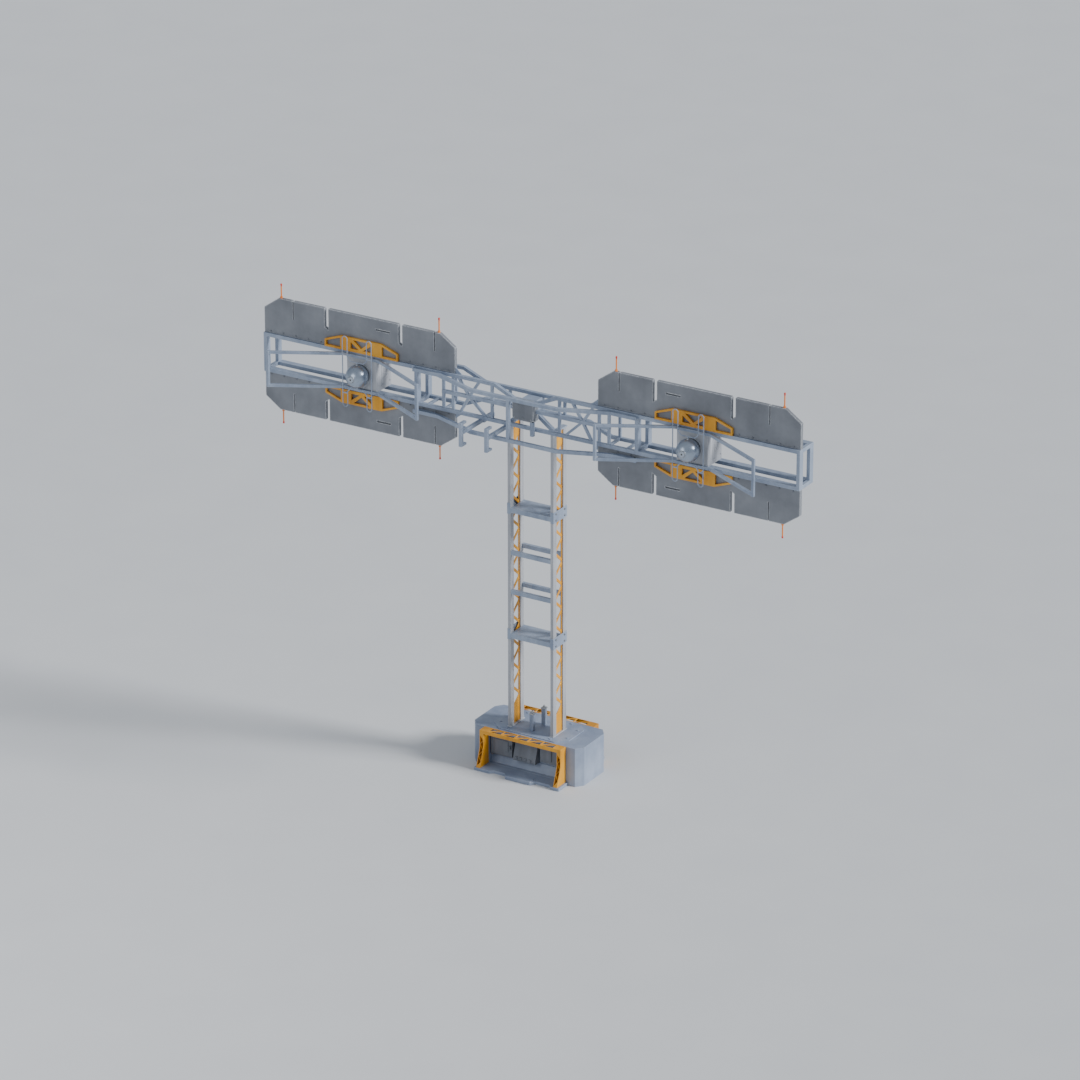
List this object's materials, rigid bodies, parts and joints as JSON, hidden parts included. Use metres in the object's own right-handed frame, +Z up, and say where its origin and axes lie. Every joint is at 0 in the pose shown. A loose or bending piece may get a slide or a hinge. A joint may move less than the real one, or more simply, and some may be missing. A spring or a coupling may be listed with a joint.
{
  "type": "railway semaphore signal",
  "caption": "Twin-column semaphore signal with a see-saw lattice boom, two paddle arms with lamps, and a block base with equipment bays.",
  "frame": {"origin": "centre of the base block's underside, on the ground", "axes": "+X along the boom to the signal's right-hand arm seen from the front, -Y towards the lamps' face, +Z up"},
  "size_m": [5.87, 1.089, 4.49],
  "materials": {
    "yellow_paint": "amber-yellow enamel on lattice steel",
    "dark_panel_paint": "dark grey satin paint, worn to metal at its edges",
    "orange_paint": "orange enamel on thin rod",
    "polished_shell": "glossy blue-grey enamel on a spun shell",
    "lamp_glass": "clear moulded lens",
    "bronze": "plain bearing bronze",
    "bare_steel": "machined or galvanised steel",
    "base_paint": "blue-grey satin paint on plate",
    "cabinet_paint": "dark grey satin paint on sheet steel",
    "grey_paint": "blue-grey satin paint on steel tube"
  },
  "bodies": {
    "base": {"base_block": "base_paint", "front_step_plate": "base_paint", "back_step_plate": "base_paint", "front_portal": "yellow_paint", "back_portal": "yellow_paint", "front_cabinet": "cabinet_paint", "back_cabinet": "cabinet_paint", "front_vent_hood": "cabinet_paint", "front_junction_box": "cabinet_paint", "door_hinge_pins": "bare_steel", "mast_plinth": "base_paint", "plinth_bolts": "bare_steel", "cable_risers": "grey_paint", "left_column_posts": "grey_paint", "left_column_lattice": "yellow_paint", "right_column_posts": "grey_paint", "right_column_lattice": "yellow_paint", "upper_shelf": "grey_paint", "lower_shelf": "grey_paint", "mast_rungs": "grey_paint", "mast_head_yoke": "grey_paint", "pivot_bush": "bronze"},
    "boom": {"boom_front_top_chord": "grey_paint", "boom_spine": "grey_paint", "boom_front_lower_chord": "grey_paint", "boom_posts": "grey_paint", "boom_braces": "grey_paint", "boom_back_chords": "grey_paint", "boom_back_webs": "grey_paint", "hub_gearbox": "dark_panel_paint", "hub_cover": "dark_panel_paint", "pivot_shaft": "bare_steel", "locking_finger": "grey_paint", "upper_bow": "grey_paint", "lower_bow": "grey_paint", "panel_aerials": "orange_paint", "left_ladder_rest": "grey_paint", "right_ladder_rest": "grey_paint", "left_arm_front_frame": "grey_paint", "left_arm_back_frame": "grey_paint", "left_upper_panel": "dark_panel_paint", "left_lower_panel": "dark_panel_paint", "left_arm_trusses": "yellow_paint", "left_lamp_housing": "grey_paint", "left_lamp_guard": "grey_paint", "left_splay_guard": "grey_paint", "right_arm_front_frame": "grey_paint", "right_arm_back_frame": "grey_paint", "right_upper_panel": "dark_panel_paint", "right_lower_panel": "dark_panel_paint", "right_arm_trusses": "yellow_paint", "right_lamp_housing": "grey_paint", "right_lamp_guard": "grey_paint", "right_splay_guard": "grey_paint"},
    "left_lamp": {"left_lamp_ball": "polished_shell", "left_lamp_lens": "lamp_glass"},
    "right_lamp": {"right_lamp_ball": "polished_shell", "right_lamp_lens": "lamp_glass"},
    "front_door": {"front_cabinet_door": "cabinet_paint"},
    "back_door": {"back_cabinet_door": "cabinet_paint"}
  },
  "joints": [
    {"name": "boom_tilt", "type": "hinge", "parent": "base", "child": "boom", "pos_m": [0, 0, 3.772], "axis": [0, 1, 0], "range_deg": [-20, 20]},
    {"name": "left_lamp_pan", "type": "hinge", "parent": "boom", "child": "left_lamp", "pos_m": [-1.811, -0.35, 3.772], "axis": [0, 0, 1], "range_deg": [-40, 40]},
    {"name": "right_lamp_pan", "type": "hinge", "parent": "boom", "child": "right_lamp", "pos_m": [1.811, -0.35, 3.772], "axis": [0, 0, 1], "range_deg": [-40, 40]},
    {"name": "front_door_swing", "type": "hinge", "parent": "base", "child": "front_door", "pos_m": [-0.384, -0.243, 0.23], "axis": [0, 0, -1], "range_deg": [0, 95]},
    {"name": "back_door_swing", "type": "hinge", "parent": "base", "child": "back_door", "pos_m": [0.384, 0.243, 0.23], "axis": [0, 0, -1], "range_deg": [0, 95]}
  ]
}
